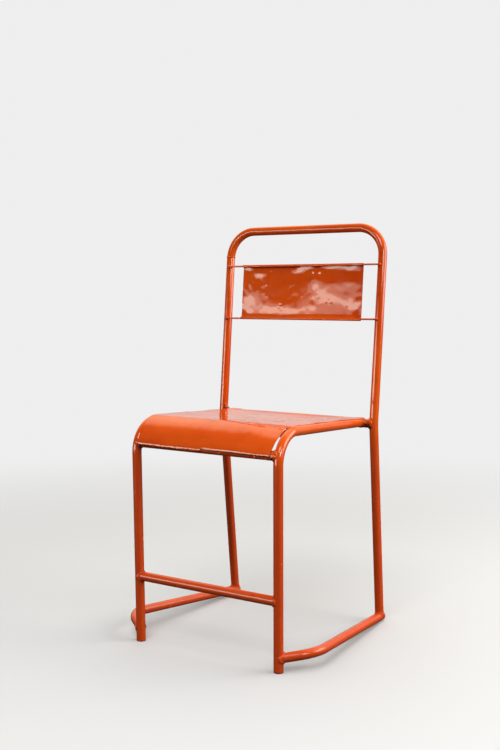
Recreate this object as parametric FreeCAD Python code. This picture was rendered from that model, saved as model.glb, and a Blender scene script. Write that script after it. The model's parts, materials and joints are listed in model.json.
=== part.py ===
import FreeCAD, Part
import math
import os

# Metal bistro chair. A welded frame of bent steel tube carries a sheet steel seat
# that rolls down over the front, and a sheet steel back panel hemmed round two rods.
# Millimetres, Z up. Left and right are as seen by someone facing the front of the chair.
# The chair faces -Y. The origin is on the floor, in the middle of the footprint.
# In the places below, y is measured back from the front legs at seat height,
# and point() moves it to the origin.

# Tube, rod and sheet
TUBE_R = 9.5
TUBE_WALL = 1.5
BORE_R = TUBE_R - TUBE_WALL
BEND_R = 60.0
KINK_R = 120.0
ROD_R = 2.0
SEAT_SHEET = 1.2
BACK_SHEET = 1.0

# Front legs and seat side rails, one bent tube on each side
FOOT_X, FOOT_Y = 166.35, 6.66
SEAT_CORNER_X, SEAT_CORNER_Y, SEAT_CORNER_Z = 168.7, -0.3, 456.5
RAIL_REAR_X, RAIL_REAR_Z = 165.0, 440.7

# Back hoop, one bent tube from rear leg to rear leg
REAR_FOOT_X, REAR_FOOT_Y = 189.9, 392.9
REAR_LEG_END_Z = 9.9
KINK_X, KINK_Y, KINK_Z = 193.1, 348.3, 438.6
HOOP_TOP_X, HOOP_TOP_Y, HOOP_TOP_Z = 194.4, 387.2, 856.2

# Cross tubes
FRONT_RAIL_Y, FRONT_RAIL_Z = 4.0, 413.2
REAR_RAIL_Z = 439.2
STRETCHER_Z = 136.6

# Floor rails, bowed outwards between the rear and the front legs
BOW_X, BOW_Y, BOW_Z = 226.0, 49.0, 37.3
FLOOR_RAIL_END_Y, FLOOR_RAIL_END_Z = 401.4, 9.1
FLOOR_RAIL_FRONT_Z = 26.5

# Seat sheet, with its right edge as pairs of y and x
SEAT_GAP = 0.1
SEAT_LIP_Z = 411.0
SEAT_HEM_R = 1.4
SEAT_BACK_WRAP = 95.0
SEAT_LEFT_FRONT, SEAT_LEFT_REAR = -172.0, -167.0
SEAT_RIGHT = ((-14.0, 155.5), (10.0, 157.0), (60.0, 161.5), (110.0, 165.5), (380.0, 167.0))

# Back panel and its rods, which lie against the front of the uprights
ROD_UPPER_Z = 775.7
ROD_LOWER_LEFT_Z, ROD_LOWER_RIGHT_Z = 656.9, 659.5
ROD_END_X = 191.0
ROD_GAP = 0.1
PANEL_LEFT_X, PANEL_RIGHT_X = -151.0, 155.0
HEM_CLEARANCE = 0.1
HEM_WRAP = 235.0

# Feet and end plugs
FOOT_FLANGE = 1.5
FOOT_SHANK = 15.0
END_PLUG = 3.0

# Weld beads where tube meets tube, blobs at the rods, and tacks under the seat sheet
BEAD = 2.2
BEAD_REACH = 24.7
ROD_BLOB_R = 4.4
ROD_BLOB_SINK = 0.25
TACK_R = 3.0
SIDE_TACK_YS = (90.0, 190.0, 290.0)
SIDE_TACK_INWARD, SIDE_TACK_UP = 5.2, 8.1
CROSS_TACK_XS = (-120.0, -40.0, 40.0, 120.0)
LIP_TACK_R = 2.6
LIP_TACK_DROP = 1.5
REAR_TACK_BACK, REAR_TACK_DROP = 0.5, 3.0

# Lengths past a tube's real end, for a clean cut, and the size of a cutting block
LEG_OVERRUN = 6.0
RAIL_OVERRUN = 40.0
BLOCK_SPAN, BLOCK_TOP = 1200.0, 1000.0

# Half way between the seat lip and the rear ends of the floor rails
FOOTPRINT_MIDDLE_Y = 194.55

LEFT, RIGHT = -1, 1
SIDES = {"left": LEFT, "right": RIGHT}


def point(x, y, z):
    """A place on the chair, with y measured back from the front legs."""
    return FreeCAD.Vector(x, y - FOOTPRINT_MIDDLE_Y, z)


def between(start, end, share):
    """The point that lies this share of the way from start to end."""
    return start + (end - start) * share


def rounded_path(points, radii):
    """A wire through points, each inner corner rounded by the radius that belongs to it."""
    edges = []
    start = points[0]
    for before, corner, after, radius in zip(points, points[1:], points[2:], radii):
        back = (before - corner).normalize()
        onward = (after - corner).normalize()
        half = back.getAngle(onward) / 2
        reach = radius / math.tan(half)
        middle = (back + onward).normalize() * (radius / math.sin(half) - radius)
        arc_start = corner + back * reach
        arc_end = corner + onward * reach
        edges.append(Part.makeLine(start, arc_start))
        edges.append(Part.Arc(arc_start, corner + middle, arc_end).toShape())
        start = arc_end
    edges.append(Part.makeLine(start, points[-1]))
    return Part.Wire(edges)


def rod(points, radii, radius):
    """A solid round bar along a rounded path."""
    path = rounded_path(points, radii)
    direction = points[1] - points[0]
    ring = Part.Wire(Part.makeCircle(radius, points[0], direction))
    return path.makePipeShell([ring], True, False)


def straight(start, end, radius):
    """A solid round bar from start to end."""
    run = end - start
    return Part.makeCylinder(radius, run.Length, start, run)


class Tube:
    """A tube: the full bar of its outside, a thicker bar for its welds, and its wall."""

    def __init__(self, points, radii=()):
        self.bar = rod(points, radii, TUBE_R)
        self.fat = rod(points, radii, TUBE_R + BEAD)
        self.bore = rod(points, radii, BORE_R)
        self.wall = self.bar.cut(self.bore)

    def cope(self, *others):
        """Cuts this tube's ends to fit round other tubes."""
        for other in others:
            self.wall = largest(self.wall.cut(other.bar))

    def trim(self, block):
        """Keeps what of this tube lies inside a block."""
        self.wall = largest(self.wall.common(block))


def largest(shape):
    """The largest solid of a shape, which drops the slivers that a cut leaves."""
    return max(shape.Solids, key=lambda solid: solid.Volume)


def bead(branch, main, centre):
    """The weld round a tube's end: where both thick bars meet, outside both tubes."""
    reach = Part.makeSphere(BEAD_REACH, centre)
    ring = branch.fat.common(main.fat).common(reach)
    return largest(ring.cut(branch.bar).cut(main.bar))


def bead_under(sheet, branch, main, centre):
    """A weld with the seat sheet on it, cut where the sheet lies."""
    return largest(bead(branch, main, centre).cut(sheet))


def group(shapes):
    """Several separate solids as one node."""
    return Part.makeCompound([solid for shape in shapes for solid in shape.Solids])


def block_above(low_z):
    """A block wider than the chair, from a height up to above its top."""
    corner = FreeCAD.Vector(-BLOCK_SPAN / 2, -BLOCK_SPAN / 2, low_z)
    return Part.makeBox(BLOCK_SPAN, BLOCK_SPAN, BLOCK_TOP - low_z, corner)


def leg_axis(side, z):
    """A point on a front leg's axis."""
    foot = point(side * FOOT_X, FOOT_Y, 0)
    corner = point(side * SEAT_CORNER_X, SEAT_CORNER_Y, SEAT_CORNER_Z)
    return between(foot, corner, z / SEAT_CORNER_Z)


def side_rail_axis(side, y):
    """A point on a seat side rail's axis."""
    corner = point(side * SEAT_CORNER_X, SEAT_CORNER_Y, SEAT_CORNER_Z)
    rear = point(side * RAIL_REAR_X, KINK_Y, RAIL_REAR_Z)
    return between(corner, rear, (y - SEAT_CORNER_Y) / (KINK_Y - SEAT_CORNER_Y))


def rear_leg_axis(side, z):
    """A point on a rear leg's axis, below the seat."""
    foot = point(side * REAR_FOOT_X, REAR_FOOT_Y, 0)
    kink = point(side * KINK_X, KINK_Y, KINK_Z)
    return between(foot, kink, z / KINK_Z)


def upright_axis(side, z):
    """A point on an upright's axis, above the seat."""
    kink = point(side * KINK_X, KINK_Y, KINK_Z)
    top = point(side * HOOP_TOP_X, HOOP_TOP_Y, HOOP_TOP_Z)
    return between(kink, top, (z - KINK_Z) / (HOOP_TOP_Z - KINK_Z))


def front_rail_end(side):
    """The end of the front cross tube's axis, in a side frame's bend."""
    return point(side * SEAT_CORNER_X, FRONT_RAIL_Y, FRONT_RAIL_Z)


def rear_rail_end(side):
    """The end of the rear cross tube's axis, on an upright's axis."""
    return point(side * KINK_X, KINK_Y, REAR_RAIL_Z)


def floor_rail_end(side):
    """The rear end of a floor rail's axis."""
    return point(side * REAR_FOOT_X, FLOOR_RAIL_END_Y, FLOOR_RAIL_END_Z)


def floor_rail_bow(side):
    """The corner of a floor rail's axis, where it stands out furthest."""
    return point(side * BOW_X, BOW_Y, BOW_Z)


def make_back_hoop():
    """The tube that makes the rear legs, the uprights and the top rail."""
    points = [
        rear_leg_axis(LEFT, REAR_LEG_END_Z),
        point(-KINK_X, KINK_Y, KINK_Z),
        point(-HOOP_TOP_X, HOOP_TOP_Y, HOOP_TOP_Z),
        point(HOOP_TOP_X, HOOP_TOP_Y, HOOP_TOP_Z),
        point(KINK_X, KINK_Y, KINK_Z),
        rear_leg_axis(RIGHT, REAR_LEG_END_Z),
    ]
    return Tube(points, (KINK_R, BEND_R, BEND_R, KINK_R))


def make_side_frame(side):
    """The tube that makes a front leg and a seat side rail."""
    corner = point(side * SEAT_CORNER_X, SEAT_CORNER_Y, SEAT_CORNER_Z)
    return Tube([leg_axis(side, -LEG_OVERRUN), corner, side_rail_axis(side, KINK_Y)], (BEND_R,))


def make_floor_rail(side, overrun=0.0):
    """The bowed tube along the floor, from under the rear leg to the front leg's outer side."""
    end = floor_rail_end(side)
    bow = floor_rail_bow(side)
    start = end + (end - bow).normalize() * overrun
    return Tube([start, bow, leg_axis(side, FLOOR_RAIL_FRONT_Z)], (BEND_R,))


def make_end_plug(side):
    """The disc that closes a floor rail's rear end."""
    end = floor_rail_end(side)
    inward = (floor_rail_bow(side) - end).normalize()
    return straight(end, end + inward * END_PLUG, BORE_R)


def make_foot_plug(side, leg):
    """The plug in a front leg: a shank that fills the bore, on a flange as wide as the tube."""
    shank = leg.bore.common(block_above(FOOT_FLANGE)).cut(block_above(FOOT_SHANK))
    flange = Part.makeCylinder(TUBE_R, FOOT_FLANGE, leg_axis(side, 0))
    return largest(shank.fuse(flange).removeSplitter())


def across(middle, radius, angle):
    """A point of a circle in the YZ plane."""
    return middle + FreeCAD.Vector(0, radius * math.cos(angle), radius * math.sin(angle))


def arc_across(middle, radius, start, end):
    """An arc in the YZ plane, from one angle to another."""
    angles = (start, (start + end) / 2, end)
    return Part.Arc(*[across(middle, radius, angle) for angle in angles]).toShape()


def seat_section():
    """The seat sheet's outline in the YZ plane, as a face, and the middle of its lip's hem."""
    corner = point(0, SEAT_CORNER_Y, SEAT_CORNER_Z)
    down = (point(0, FOOT_Y, 0) - corner).normalize()
    back = (point(0, KINK_Y, RAIL_REAR_Z) - corner).normalize()
    half = down.getAngle(back) / 2
    centre = corner + (down + back).normalize() * (BEND_R / math.sin(half))
    up = FreeCAD.Vector(0, -back.z, back.y)
    rear = point(0, KINK_Y, REAR_RAIL_Z)
    inner = BEND_R + TUBE_R + SEAT_GAP
    outer = inner + SEAT_SHEET
    curl_in = (centre + up * inner - rear).dot(up)
    curl_out = curl_in + SEAT_SHEET
    lip_angle = math.pi - math.asin((SEAT_LIP_Z - centre.z) / inner)
    top_angle = math.atan2(up.z, up.y)
    wrap_angle = top_angle - math.radians(SEAT_BACK_WRAP)
    outline = Part.Wire([
        arc_across(centre, outer, lip_angle, top_angle),
        Part.makeLine(across(centre, outer, top_angle), across(rear, curl_out, top_angle)),
        arc_across(rear, curl_out, top_angle, wrap_angle),
        Part.makeLine(across(rear, curl_out, wrap_angle), across(rear, curl_in, wrap_angle)),
        arc_across(rear, curl_in, wrap_angle, top_angle),
        Part.makeLine(across(rear, curl_in, top_angle), across(centre, inner, top_angle)),
        arc_across(centre, inner, top_angle, lip_angle),
        Part.makeLine(across(centre, inner, lip_angle), across(centre, outer, lip_angle)),
    ])
    return Part.Face(outline), across(centre, inner + SEAT_HEM_R, lip_angle)


def seat_plan():
    """A block with the seat sheet's outline as seen from above."""
    front_y, rear_y = SEAT_RIGHT[0][0], SEAT_RIGHT[-1][0]
    corners = [point(SEAT_LEFT_FRONT, front_y, 0), point(SEAT_LEFT_REAR, rear_y, 0)]
    corners += [point(x, y, 0) for y, x in reversed(SEAT_RIGHT)]
    outline = Part.Face(Part.makePolygon(corners + corners[:1]))
    return outline.extrude(FreeCAD.Vector(0, 0, BLOCK_TOP))


def make_seat_panel():
    """The seat sheet: rolled over the front, hemmed at its lip, curled over the rear rail."""
    section, hem = seat_section()
    start = FreeCAD.Vector(-KINK_X, 0, 0)
    run = FreeCAD.Vector(2 * KINK_X, 0, 0)
    section.translate(start)
    sheet = section.extrude(run)
    lip = straight(hem + start, hem + start + run, SEAT_HEM_R)
    return largest(sheet.fuse(lip).common(seat_plan()).removeSplitter())


def rod_end(side, z):
    """The end of a back rod's axis, where it lies on the front of an upright."""
    axis = upright_axis(side, z)
    lean = (point(0, HOOP_TOP_Y, HOOP_TOP_Z) - point(0, KINK_Y, KINK_Z)).normalize()
    forward = FreeCAD.Vector(0, -lean.z, lean.y)
    place = axis + forward * (TUBE_R + ROD_R + ROD_GAP)
    return FreeCAD.Vector(side * ROD_END_X, place.y, place.z)


def make_rod(left_z, right_z):
    """A straight rod from upright to upright."""
    return straight(rod_end(LEFT, left_z), rod_end(RIGHT, right_z), ROD_R)


def back_section(x):
    """The back sheet's outline at one place across the chair, closed round both rods."""
    share = (x + ROD_END_X) / (2 * ROD_END_X)
    lower = between(rod_end(LEFT, ROD_LOWER_LEFT_Z), rod_end(RIGHT, ROD_LOWER_RIGHT_Z), share)
    upper = between(rod_end(LEFT, ROD_UPPER_Z), rod_end(RIGHT, ROD_UPPER_Z), share)
    inner = ROD_R + HEM_CLEARANCE
    outer = inner + BACK_SHEET
    behind = math.atan2(upper.z - lower.z, upper.y - lower.y) - math.pi / 2
    wrap = math.radians(HEM_WRAP)
    over, under = behind + wrap, behind - wrap
    return Part.Wire([
        Part.makeLine(across(lower, outer, behind), across(upper, outer, behind)),
        arc_across(upper, outer, behind, over),
        Part.makeLine(across(upper, outer, over), across(upper, inner, over)),
        arc_across(upper, inner, over, behind),
        Part.makeLine(across(upper, inner, behind), across(lower, inner, behind)),
        arc_across(lower, inner, behind, under),
        Part.makeLine(across(lower, inner, under), across(lower, outer, under)),
        arc_across(lower, outer, under, behind),
    ])


def make_backrest_panel():
    """The back sheet: flat behind the rods, its top and bottom hems rolled forward round them."""
    return Part.makeLoft([back_section(PANEL_LEFT_X), back_section(PANEL_RIGHT_X)], True, True)


def rod_blob(side, z, bar, hoop):
    """The blob of weld where one end of a back rod lies on an upright."""
    centre = between(rod_end(side, z), upright_axis(side, z), ROD_BLOB_SINK)
    return largest(Part.makeSphere(ROD_BLOB_R, centre).cut(bar).cut(hoop.bar))


def tack(place, radius, sheet, tube):
    """A small weld that joins a sheet to a tube."""
    return largest(Part.makeSphere(radius, place).cut(sheet).cut(tube.bar))


def seat_tacks(sheet, frames, front_rail, rear_rail):
    """Tack welds that hold the seat sheet to the side rails and the cross tubes."""
    tacks = []
    for side, frame in frames.items():
        aside = FreeCAD.Vector(-side * SIDE_TACK_INWARD, 0, SIDE_TACK_UP)
        for y in SIDE_TACK_YS:
            tacks.append(tack(side_rail_axis(side, y) + aside, TACK_R, sheet, frame))
    for x in CROSS_TACK_XS:
        lip = point(x, FRONT_RAIL_Y - TUBE_R, SEAT_LIP_Z - LIP_TACK_DROP)
        tacks.append(tack(lip, LIP_TACK_R, sheet, front_rail))
        rear = point(x, KINK_Y + TUBE_R + REAR_TACK_BACK, REAR_RAIL_Z - REAR_TACK_DROP)
        tacks.append(tack(rear, TACK_R, sheet, rear_rail))
    return group(tacks)


def write(name, shape):
    """Writes one node and says how many solids it has and how large they are."""
    shape.exportStep("parts/" + name + ".step")
    print(name, len(shape.Solids), "solids,", round(shape.Volume), "mm3, valid", shape.isValid())


def write_welds(name, beads):
    """Writes the beads of one kind of joint as one node."""
    write("welds_" + name, group(beads))


def main():
    """Makes every piece of the chair and writes it."""
    os.makedirs("parts", exist_ok=True)
    sides = tuple(SIDES.values())

    hoop = make_back_hoop()
    frames = {side: make_side_frame(side) for side in sides}
    rails = {side: make_floor_rail(side) for side in sides}
    front_rail = Tube([front_rail_end(side) for side in sides])
    rear_rail = Tube([rear_rail_end(side) for side in sides])
    stretcher = Tube([leg_axis(side, STRETCHER_Z) for side in sides])

    hoop.cope(*[make_floor_rail(side, RAIL_OVERRUN) for side in sides])
    rear_rail.cope(hoop)
    front_rail.cope(*frames.values())
    stretcher.cope(*frames.values())
    for side in sides:
        rails[side].cope(frames[side])
        rails[side].trim(block_above(0))
        frames[side].cope(rear_rail)
        frames[side].trim(block_above(FOOT_FLANGE))

    seat = make_seat_panel()
    upper_rod = make_rod(ROD_UPPER_Z, ROD_UPPER_Z)
    lower_rod = make_rod(ROD_LOWER_LEFT_Z, ROD_LOWER_RIGHT_Z)

    write("back_hoop", hoop.wall)
    write("front_seat_rail", front_rail.wall)
    write("rear_seat_rail", rear_rail.wall)
    write("front_stretcher", stretcher.wall)
    write("seat_panel", seat)
    write("backrest_panel", make_backrest_panel())
    write("backrest_rod_upper", upper_rod)
    write("backrest_rod_lower", lower_rod)
    for name, side in SIDES.items():
        write("side_frame_" + name, frames[side].wall)
        write("floor_rail_" + name, rails[side].wall)
        write("rail_end_plug_" + name, make_end_plug(side))
        write("foot_plug_" + name, make_foot_plug(side, frames[side]))

    write_welds("stretcher", [bead(stretcher, frames[s], leg_axis(s, STRETCHER_Z)) for s in sides])
    write_welds("front_seat_rail", [
        bead_under(seat, front_rail, frames[s], front_rail_end(s)) for s in sides
    ])
    write_welds("rear_seat_rail", [bead(rear_rail, hoop, rear_rail_end(s)) for s in sides])
    write_welds("side_rails", [
        bead_under(seat, frames[s], rear_rail, side_rail_axis(s, KINK_Y)) for s in sides
    ])
    write_welds("floor_rails_front", [
        bead(rails[s], frames[s], leg_axis(s, FLOOR_RAIL_FRONT_Z)) for s in sides
    ])
    write_welds("rear_legs", [bead(hoop, rails[s], rear_leg_axis(s, REAR_LEG_END_Z)) for s in sides])
    write_welds("back_rods", [
        rod_blob(LEFT, ROD_UPPER_Z, upper_rod, hoop),
        rod_blob(RIGHT, ROD_UPPER_Z, upper_rod, hoop),
        rod_blob(LEFT, ROD_LOWER_LEFT_Z, lower_rod, hoop),
        rod_blob(RIGHT, ROD_LOWER_RIGHT_Z, lower_rod, hoop),
    ])
    write_welds("seat_panel", [seat_tacks(seat, frames, front_rail, rear_rail)])


main()
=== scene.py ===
"""The looks of an orange enamelled steel bistro chair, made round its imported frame.

Metres, Z up. The chair faces -Y. Left and right are as seen by someone who stands in
front of the chair and looks at it.
"""

import json
import logging
import math
from dataclasses import dataclass
from enum import Enum
from typing import Any, Callable, Sequence

import bpy
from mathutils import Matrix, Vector, noise

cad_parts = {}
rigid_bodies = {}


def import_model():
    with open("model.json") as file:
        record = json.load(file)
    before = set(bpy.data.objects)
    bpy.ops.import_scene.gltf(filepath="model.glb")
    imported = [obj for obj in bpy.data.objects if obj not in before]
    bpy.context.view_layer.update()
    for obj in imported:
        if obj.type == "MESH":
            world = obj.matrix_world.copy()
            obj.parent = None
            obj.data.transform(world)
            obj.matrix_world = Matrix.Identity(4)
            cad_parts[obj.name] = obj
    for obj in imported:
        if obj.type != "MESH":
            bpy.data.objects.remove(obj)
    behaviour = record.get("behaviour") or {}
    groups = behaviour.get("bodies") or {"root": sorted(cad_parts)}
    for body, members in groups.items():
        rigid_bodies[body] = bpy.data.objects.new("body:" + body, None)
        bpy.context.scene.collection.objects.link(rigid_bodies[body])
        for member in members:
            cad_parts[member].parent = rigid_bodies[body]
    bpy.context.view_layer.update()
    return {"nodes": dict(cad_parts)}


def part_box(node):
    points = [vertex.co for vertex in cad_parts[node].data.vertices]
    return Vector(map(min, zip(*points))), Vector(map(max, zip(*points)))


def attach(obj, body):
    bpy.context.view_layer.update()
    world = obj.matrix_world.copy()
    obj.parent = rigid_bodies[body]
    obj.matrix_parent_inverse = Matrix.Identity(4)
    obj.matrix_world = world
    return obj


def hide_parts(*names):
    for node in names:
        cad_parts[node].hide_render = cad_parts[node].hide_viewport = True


log = logging.getLogger("bistro_chair")

MM = 0.001
BODY = "root"

LUMP = 0.6
LUMP_SIZE = 2.5
LUMP_SEEDS = (11.0, 37.0, 71.0)
NEAR = 0.3
ON_FLAT = 80.0
PAST_REAR = 400.0
SHEET_EDGE = 40.0
NO_EDGE = 180.0
BACK_MIDDLE = (0.0, 0.17, 0.66)
RIGHT_UPRIGHT = (0.19, 0.18, 0.8)
WHITE = (1.0, 1.0, 1.0, 1.0)

Colour = tuple[float, float, float]
Stations = Sequence[tuple[float, float]]


class Slot(Enum):
    """Names of the record's sheet and weld paint slots."""

    SHEET = "sheet_paint"
    WELD = "weld_paint"


def smooth(value: float, low: float, high: float) -> float:
    """Rises smoothly from 0 at low to 1 at high.

    Args:
        value: The place between the two.
        low: Where the rise starts.
        high: Where it ends.

    Returns:
        A share from 0 to 1.
    """
    share = min(1.0, max(0.0, (value - low) / (high - low)))
    return share * share * (3.0 - 2.0 * share)


def through(stations: Stations, value: float) -> float:
    """A smooth curve through stations, flat past its ends.

    Args:
        stations: Pairs of place and height, in order of place.
        value: The place asked for.

    Returns:
        The height there.
    """
    places = [station[0] for station in stations]
    heights = [station[1] for station in stations]
    if value <= places[0]:
        return heights[0]
    if value >= places[-1]:
        return heights[-1]
    at = max(i for i, place in enumerate(places) if place <= value)
    span = places[at + 1] - places[at]
    share = (value - places[at]) / span

    def slope(i: int) -> float:
        """The curve's slope at the station with a number."""
        before = max(0, i - 1)
        after = min(len(places) - 1, i + 1)
        return (heights[after] - heights[before]) / (places[after] - places[before])

    squared = share * share
    cubed = squared * share
    return (
        (2 * cubed - 3 * squared + 1) * heights[at]
        + (cubed - 2 * squared + share) * span * slope(at)
        + (3 * squared - 2 * cubed) * heights[at + 1]
        + (cubed - squared) * span * slope(at + 1)
    )


def waver(x: float, length: float, seed: float) -> float:
    """Uneven waves along a line.

    Args:
        x: The place on the line.
        length: How long the waves are.
        seed: Picks one of many patterns.

    Returns:
        A height from about -1 to 1.
    """
    return noise.noise(Vector((x / length, seed, 0.0)))


def hill(place: Vector, middle: Vector, reach: float) -> float:
    """A round hill: 1 at its middle, and almost 0 at twice its reach.

    Args:
        place: The point asked about.
        middle: The hill's middle.
        reach: How far the hill spreads.

    Returns:
        The hill's height there, from 0 to 1.
    """
    return math.exp(-((place - middle).length_squared) / (reach * reach))


class Bench:
    """Modelling moves, made with Blender's operators as by hand."""

    @staticmethod
    def clear() -> None:
        """Leaves edit mode and selects nothing."""
        active = bpy.context.view_layer.objects.active
        if active is not None and active.mode != "OBJECT":
            bpy.ops.object.mode_set(mode="OBJECT")
        bpy.ops.object.select_all(action="DESELECT")

    @staticmethod
    def take(piece: bpy.types.Object) -> None:
        """Makes one piece the only selected and active one.

        Args:
            piece: The piece.
        """
        Bench.clear()
        piece.select_set(True)
        bpy.context.view_layer.objects.active = piece

    @staticmethod
    def adopt(name: str) -> bpy.types.Object:
        """Names the primitive that was just added.

        Args:
            name: The name of the piece and of its mesh.

        Returns:
            The piece.
        """
        piece = bpy.context.view_layer.objects.active
        piece.name = name
        piece.data.name = name
        return piece

    @staticmethod
    def settle(piece: bpy.types.Object) -> None:
        """Moves a piece's place, turn and scale into its mesh."""
        Bench.take(piece)
        bpy.ops.object.transform_apply(location=True, rotation=True, scale=True)

    @staticmethod
    def pick(piece: bpy.types.Object, test: Callable[[Vector], bool]) -> None:
        """Opens a piece for editing with the vertices selected that a test picks.

        Args:
            piece: The piece to edit.
            test: Says of a vertex's place whether it is picked.
        """
        Bench.take(piece)
        bpy.ops.object.mode_set(mode="EDIT")
        bpy.ops.mesh.select_mode(type="VERT")
        bpy.ops.mesh.select_all(action="DESELECT")
        bpy.ops.object.mode_set(mode="OBJECT")
        for vertex in piece.data.vertices:
            vertex.select = test(vertex.co)
        bpy.ops.object.mode_set(mode="EDIT")

    @staticmethod
    def all_of(piece: bpy.types.Object) -> None:
        """Opens a piece for editing with everything selected.

        Args:
            piece: The piece to edit.
        """
        Bench.take(piece)
        bpy.ops.object.mode_set(mode="EDIT")
        bpy.ops.mesh.select_all(action="SELECT")

    @staticmethod
    def reshape(piece: bpy.types.Object, move: Callable[[Vector], Vector]) -> None:
        """Hammers a piece into shape.

        Args:
            piece: The piece to change.
            move: Says of a vertex's place where the vertex goes.
        """
        Bench.clear()
        for vertex in piece.data.vertices:
            vertex.co = move(vertex.co.copy())
        piece.data.update()

    @staticmethod
    def modify(piece: bpy.types.Object, kind: str, **settings: Any) -> None:
        """Adds a modifier, sets it up and applies it.

        Args:
            piece: The piece to change.
            kind: The modifier's type.
            settings: Its settings by name.
        """
        Bench.take(piece)
        modifier = piece.modifiers.new(kind.lower(), kind)
        for name, value in settings.items():
            setattr(modifier, name, value)
        bpy.ops.object.modifier_apply(modifier=modifier.name)

    @staticmethod
    def round_off(piece: bpy.types.Object, degrees: float = SHEET_EDGE) -> None:
        """Shades a piece smooth, except across sharp edges.

        Args:
            piece: The piece.
            degrees: The angle from which an edge is sharp.
        """
        Bench.take(piece)
        bpy.ops.object.shade_smooth_by_angle(angle=math.radians(degrees))
        Bench.clear()

    @staticmethod
    def coat(piece: bpy.types.Object, material: bpy.types.Material, slot: Slot) -> None:
        """Paints a finished piece and fixes it to the chair.

        Args:
            piece: The piece.
            material: Its only material.
            slot: Not used.
        """
        piece.data.materials.clear()
        piece.data.materials.append(material)
        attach(piece, BODY)


class Signal:
    """A shader socket that takes part in Python expressions."""

    def __init__(self, graph: "Graph", socket: bpy.types.NodeSocket) -> None:
        """Wraps a socket of a graph."""
        self.graph = graph
        self.socket = socket

    def maths(self, operation: str, *values: "Signal | float") -> "Signal":
        """A Math node on values."""
        inputs = dict(enumerate(values))
        return self.graph.node("ShaderNodeMath", {"operation": operation}, inputs)

    def __add__(self, other: "Signal | float") -> "Signal":
        """self + other."""
        return self.maths("ADD", self, other)

    __radd__ = __add__

    def __sub__(self, other: "Signal | float") -> "Signal":
        """self - other."""
        return self.maths("SUBTRACT", self, other)

    def __rsub__(self, other: "Signal | float") -> "Signal":
        """other - self."""
        return self.maths("SUBTRACT", other, self)

    def __mul__(self, other: "Signal | float") -> "Signal":
        """self * other."""
        return self.maths("MULTIPLY", self, other)

    __rmul__ = __mul__

    def between(self, low: float, high: float) -> "Signal":
        """Rises smoothly from 0 where this is low to 1 where it is high."""
        settings = {"interpolation_type": "SMOOTHSTEP"}
        return self.graph.node("ShaderNodeMapRange", settings, {0: self, 1: low, 2: high})


class Graph:
    """A node tree, written in expressions."""

    def __init__(self, tree: bpy.types.NodeTree) -> None:
        """Wraps a material's or the world's node tree."""
        self.tree = tree

    def node(
        self, kind: str, settings: dict[str, Any], inputs: dict[int | str, Any], output: int | str = 0
    ) -> Signal:
        """Adds a node.

        Args:
            kind: The node's type.
            settings: Its properties by name.
            inputs: Values or signals by socket.
            output: The socket that the node gives.

        Returns:
            The output as a signal.
        """
        made = self.tree.nodes.new(kind)
        for name, value in settings.items():
            setattr(made, name, value)
        for key, value in inputs.items():
            self.feed(made.inputs[key], value)
        return Signal(self, made.outputs[output])

    def feed(self, socket: bpy.types.NodeSocket, value: Any) -> None:
        """Links a signal to a socket, or sets the socket's value."""
        if isinstance(value, Signal):
            self.tree.links.new(value.socket, socket)
        else:
            socket.default_value = value

    def axis(self, signal: Signal, name: str) -> Signal:
        """One component of a vector signal, X, Y or Z."""
        return self.node("ShaderNodeSeparateXYZ", {}, {0: signal}, name)

    def mix(self, share: Signal, first: Any, second: Any) -> Signal:
        """A colour between two.

        Args:
            share: The second colour's share, from 0 to 1.
            first: A colour or signal.
            second: A colour or signal.

        Returns:
            The mixed colour.
        """
        inputs = {0: share, 6: first, 7: second}
        return self.node("ShaderNodeMix", {"data_type": "RGBA"}, inputs, 2)

    def length(self, vector: Signal) -> Signal:
        """A vector signal's length."""
        return self.node("ShaderNodeVectorMath", {"operation": "LENGTH"}, {0: vector}, "Value")


class Recipe(Graph):
    """One material: a Principled shader and what feeds it."""

    def __init__(self, name: str) -> None:
        """Makes the material.

        Args:
            name: Its name.
        """
        self.material = bpy.data.materials.new(name)
        self.material.use_nodes = True
        super().__init__(self.material.node_tree)
        self.shader = self.tree.nodes["Principled BSDF"]
        self.place = self.node("ShaderNodeTexCoord", {}, {}, "Object")

    def noise(self, scale: float, detail: float = 2.0, roughness: float = 0.5) -> Signal:
        """Soft noise over the piece, with so many patches to the metre."""
        inputs = {"Vector": self.place, "Scale": scale, "Detail": detail, "Roughness": roughness}
        return self.node("ShaderNodeTexNoise", {}, inputs)

    def bump(self, height: Signal, distance: float) -> Signal:
        """A bumped normal from a height in shares of a distance in metres."""
        inputs = {"Height": height, "Distance": distance, "Strength": 1.0}
        return self.node("ShaderNodeBump", {}, inputs)

    def finish(self, **sockets: Any) -> bpy.types.Material:
        """Sets the shader's sockets, with _ for a space in their names.

        Args:
            sockets: Values or signals by socket.

        Returns:
            The material.
        """
        for name, value in sockets.items():
            self.feed(self.shader.inputs[name.replace("_", " ")], value)
        return self.material


def tint(hue: Colour) -> tuple[float, float, float, float]:
    """A colour written as on a screen, from 0 to 255, as the shader's linear colour."""
    linear = [
        part / 255 / 12.92 if part / 255 <= 0.04045 else ((part / 255 + 0.055) / 1.055) ** 2.4
        for part in hue
    ]
    return (*linear, 1.0)


@dataclass(frozen=True)
class DarkSpot:
    """A dark spot in the colour, of dirt and painted shade in joints and gaps, in millimetres."""

    x: float
    y: float
    z: float
    reach: float
    share: float = 0.8


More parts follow.
